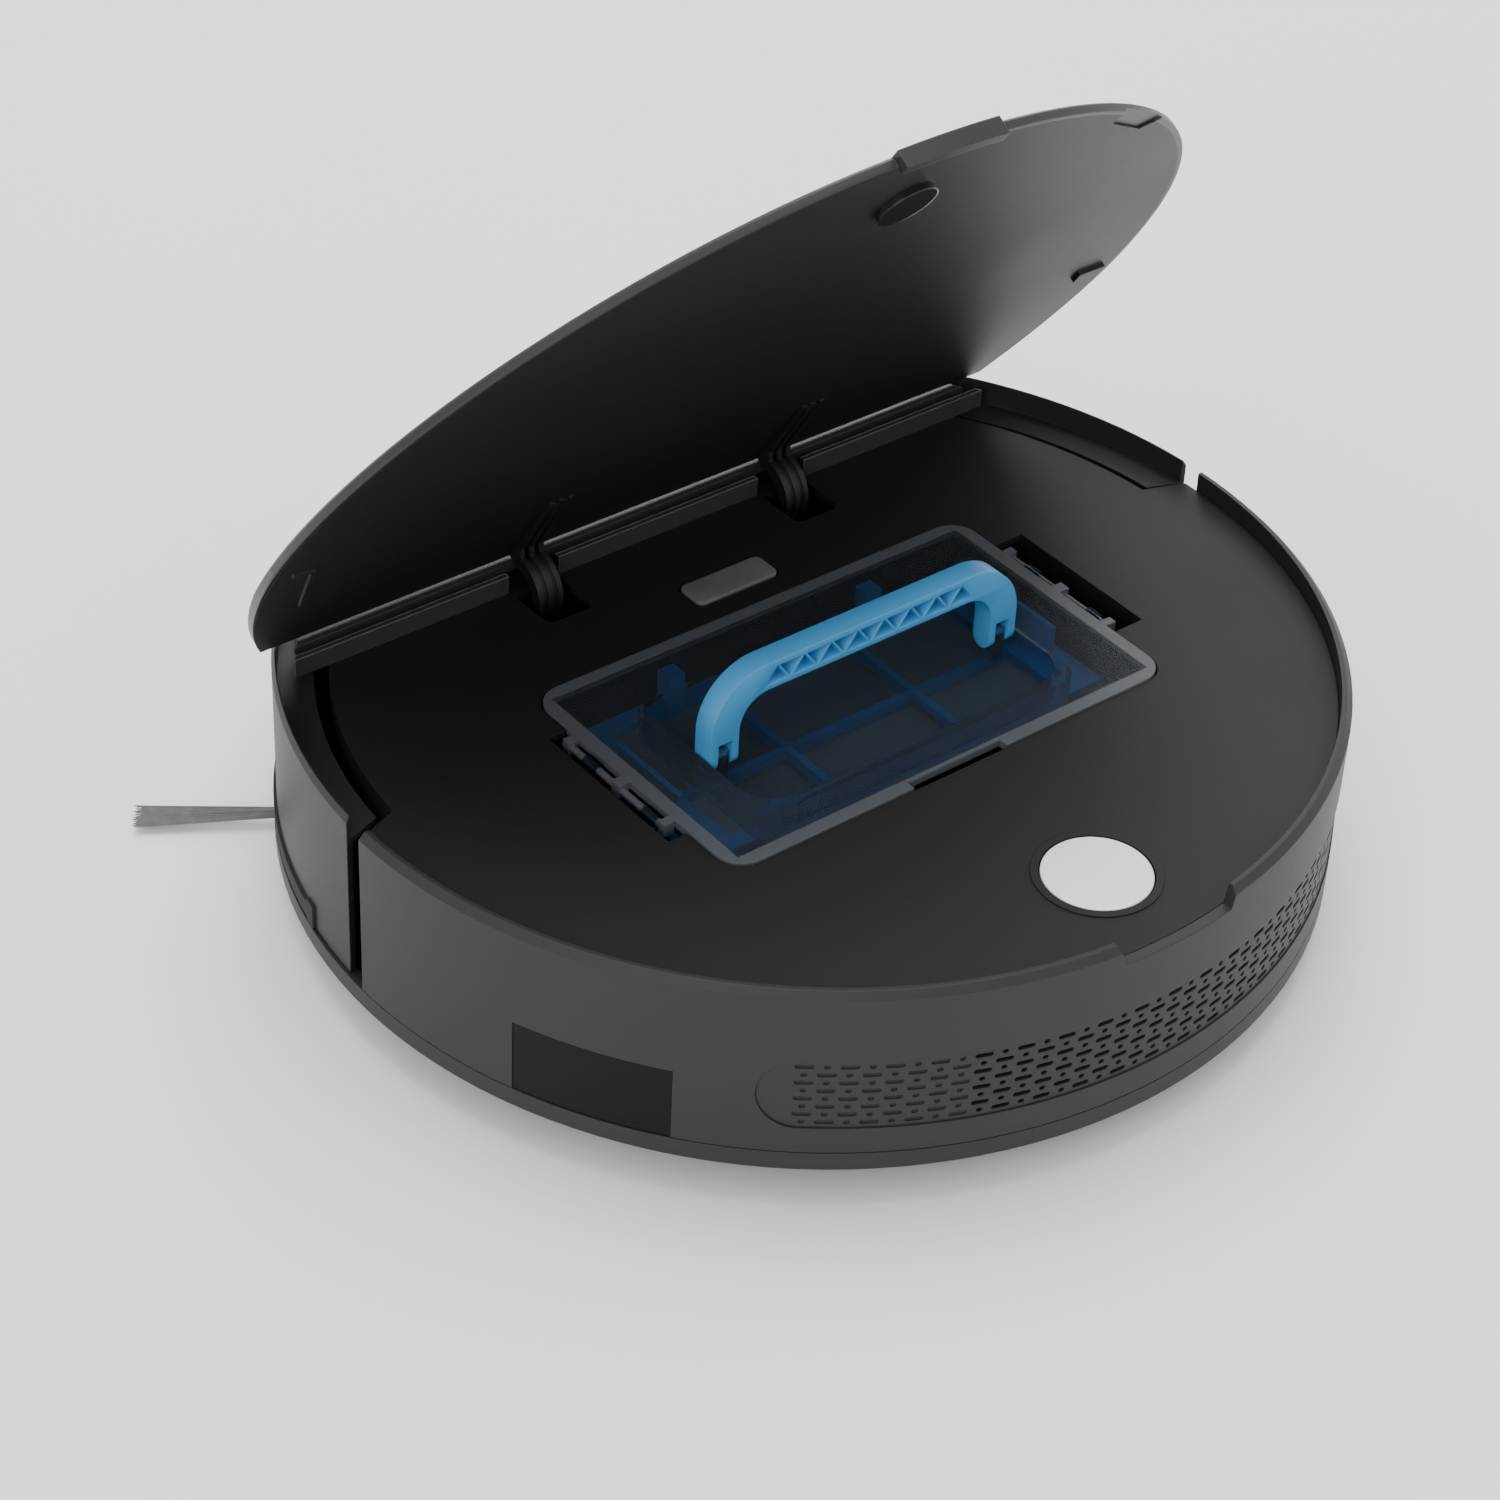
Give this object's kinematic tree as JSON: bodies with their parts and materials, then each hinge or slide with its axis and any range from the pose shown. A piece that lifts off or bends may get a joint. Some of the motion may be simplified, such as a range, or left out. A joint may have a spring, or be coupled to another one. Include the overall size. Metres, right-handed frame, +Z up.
{
  "type": "robot vacuum cleaner",
  "caption": "Round household robot vacuum cleaner with its lid raised over a dustbin with a folding carry handle, rear exhaust grille, sprung bumper and driven wheels.",
  "frame": {"origin": "on the floor under the middle of the round body, between its extents in X and Y", "axes": "+Z up, +Y towards the bumper and the lid hinge, +X to the right of the machine seen from its rear"},
  "size_m": [0.3432, 0.33, 0.271],
  "materials": {
    "shell": "satin dark grey",
    "deck": "fine-grained near black",
    "lid": "satin near black",
    "trim": "satin mid grey",
    "disc": "white",
    "blue": "satin mid blue",
    "smoke": "clear, smoky blue grey",
    "window": "smoked, near black",
    "rubber": "matt",
    "tyre": "ribbed rubber",
    "white": "pleated filter paper",
    "inner": "moulded",
    "metal": "bare",
    "motor": "painted can",
    "board": "solder mask",
    "bristle": "nylon bristles",
    "pack": "shrink wrap",
    "lens": "glossy black"
  },
  "bodies": {
    "chassis": {"base_tray": "shell", "rear_shell": "shell", "smoked_window": "window", "exhaust_grille": "shell", "deck_panel": "deck", "chassis_wall": "inner", "hinge_trim": "deck", "front_cap": "trim", "hinge_brackets": "inner", "bin_well": "inner", "service_socket": "metal", "button_collar": "trim", "button_switch": "inner", "wheel_housing_right": "inner", "wheel_housing_left": "inner", "caster_socket": "inner", "side_motors": "motor", "brush_chamber": "inner", "brush_guard": "inner", "brush_motor": "motor", "fan_housing": "inner", "fan_motor": "motor", "battery_pack": "pack", "battery_cover": "shell", "main_board": "board", "bumper_switches": "inner", "charging_contacts": "metal", "speaker": "inner", "cliff_sensors": "window", "base_screws": "metal"},
    "lid": {"lid_cover": "shell", "lid_liner": "lid", "lid_lens": "lens", "lid_arm_right": "lid", "lid_arm_left": "lid"},
    "bumper_body": {"bumper": "shell", "bumper_strip": "rubber"},
    "bin": {"dustbin": "smoke", "filter_frame": "blue", "filter_pleats": "white"},
    "cover": {"bin_cover": "smoke"},
    "latch_r": {"latch_right": "trim"},
    "latch_l": {"latch_left": "trim"},
    "handle": {"carry_handle": "blue"},
    "flap": {"service_flap": "rubber"},
    "button": {"power_button": "disc"},
    "arm_r": {"wheel_gearbox_right": "inner"},
    "arm_l": {"wheel_gearbox_left": "inner"},
    "wheel_r": {"drive_wheel_right": "inner", "tyre_right": "tyre"},
    "wheel_l": {"drive_wheel_left": "inner", "tyre_left": "tyre"},
    "caster": {"caster_fork": "inner"},
    "caster_roller": {"caster_wheel": "tyre"},
    "sweeper_r": {"side_brush_right": "bristle"},
    "sweeper_l": {"side_brush_left": "bristle"},
    "roller": {"main_brush": "bristle"},
    "fan": {"fan_rotor": "inner"}
  },
  "joints": [
    {"name": "lid_hinge", "type": "hinge", "parent": "chassis", "child": "lid", "pos_m": [0, 0.0815, 0.0588], "axis": [-1, 0, 0], "range_deg": [-55, 0]},
    {"name": "bumper_slide", "type": "slide", "parent": "chassis", "child": "bumper_body", "axis": [0, 1, 0], "range_m": [-0.003, 0], "stiffness_N_per_m": 500, "springref_m": 0.003},
    {"name": "bin_lift", "type": "slide", "parent": "chassis", "child": "bin", "axis": [0, 0, 1], "range_m": [0, 0.06]},
    {"name": "cover_lift", "type": "slide", "parent": "bin", "child": "cover", "axis": [0, 0, 1], "range_m": [0, 0.012]},
    {"name": "latch_right_swing", "type": "hinge", "parent": "cover", "child": "latch_r", "pos_m": [0.0864, -0.0195, 0.0694], "axis": [0, -1, 0], "range_deg": [0, 60]},
    {"name": "latch_left_swing", "type": "hinge", "parent": "cover", "child": "latch_l", "pos_m": [-0.0864, -0.0195, 0.0694], "axis": [0, 1, 0], "range_deg": [0, 20]},
    {"name": "handle_fold", "type": "hinge", "parent": "cover", "child": "handle", "pos_m": [0, -0.0225, 0.0706], "axis": [-1, 0, 0], "range_deg": [-90, 0]},
    {"name": "flap_hinge", "type": "hinge", "parent": "chassis", "child": "flap", "pos_m": [-0.0133, 0.04475, 0.0719], "axis": [0, -1, 0], "range_deg": [0, 80]},
    {"name": "button_press", "type": "slide", "parent": "chassis", "child": "button", "axis": [0, 0, 1], "range_m": [-0.001, 0], "stiffness_N_per_m": 400, "springref_m": 0.0006},
    {"name": "wheel_drop_right", "type": "hinge", "parent": "chassis", "child": "arm_r", "pos_m": [0.118, 0.016, 0.03], "axis": [1, 0, 0], "range_deg": [0, 18]},
    {"name": "wheel_drop_left", "type": "hinge", "parent": "chassis", "child": "arm_l", "pos_m": [-0.118, 0.016, 0.03], "axis": [1, 0, 0], "range_deg": [0, 18]},
    {"name": "wheel_spin_right", "type": "hinge", "parent": "arm_r", "child": "wheel_r", "pos_m": [0.118, -0.024, 0.032], "axis": [1, 0, 0], "continuous": true},
    {"name": "wheel_spin_left", "type": "hinge", "parent": "arm_l", "child": "wheel_l", "pos_m": [-0.118, -0.024, 0.032], "axis": [1, 0, 0], "continuous": true},
    {"name": "caster_swivel", "type": "hinge", "parent": "chassis", "child": "caster", "pos_m": [0, 0.128, 0.03], "axis": [0, 0, 1], "continuous": true},
    {"name": "caster_roll", "type": "hinge", "parent": "caster", "child": "caster_roller", "pos_m": [0, 0.122, 0.012], "axis": [1, 0, 0], "continuous": true},
    {"name": "side_brush_right_spin", "type": "hinge", "parent": "chassis", "child": "sweeper_r", "pos_m": [0.11516, 0.08678, 0.0075], "axis": [0, 0, 1], "continuous": true},
    {"name": "side_brush_left_spin", "type": "hinge", "parent": "chassis", "child": "sweeper_l", "pos_m": [-0.11516, 0.08678, 0.0075], "axis": [0, 0, 1], "continuous": true},
    {"name": "main_brush_spin", "type": "hinge", "parent": "chassis", "child": "roller", "pos_m": [0, 0.057, 0.023], "axis": [1, 0, 0], "continuous": true},
    {"name": "fan_spin", "type": "hinge", "parent": "chassis", "child": "fan", "pos_m": [0.048, -0.11, 0.036], "axis": [0, 0, 1], "continuous": true}
  ],
  "couplings": [
    {"joint": "handle_fold", "follows": "lid_hinge", "ratio": 1.6364}
  ]
}
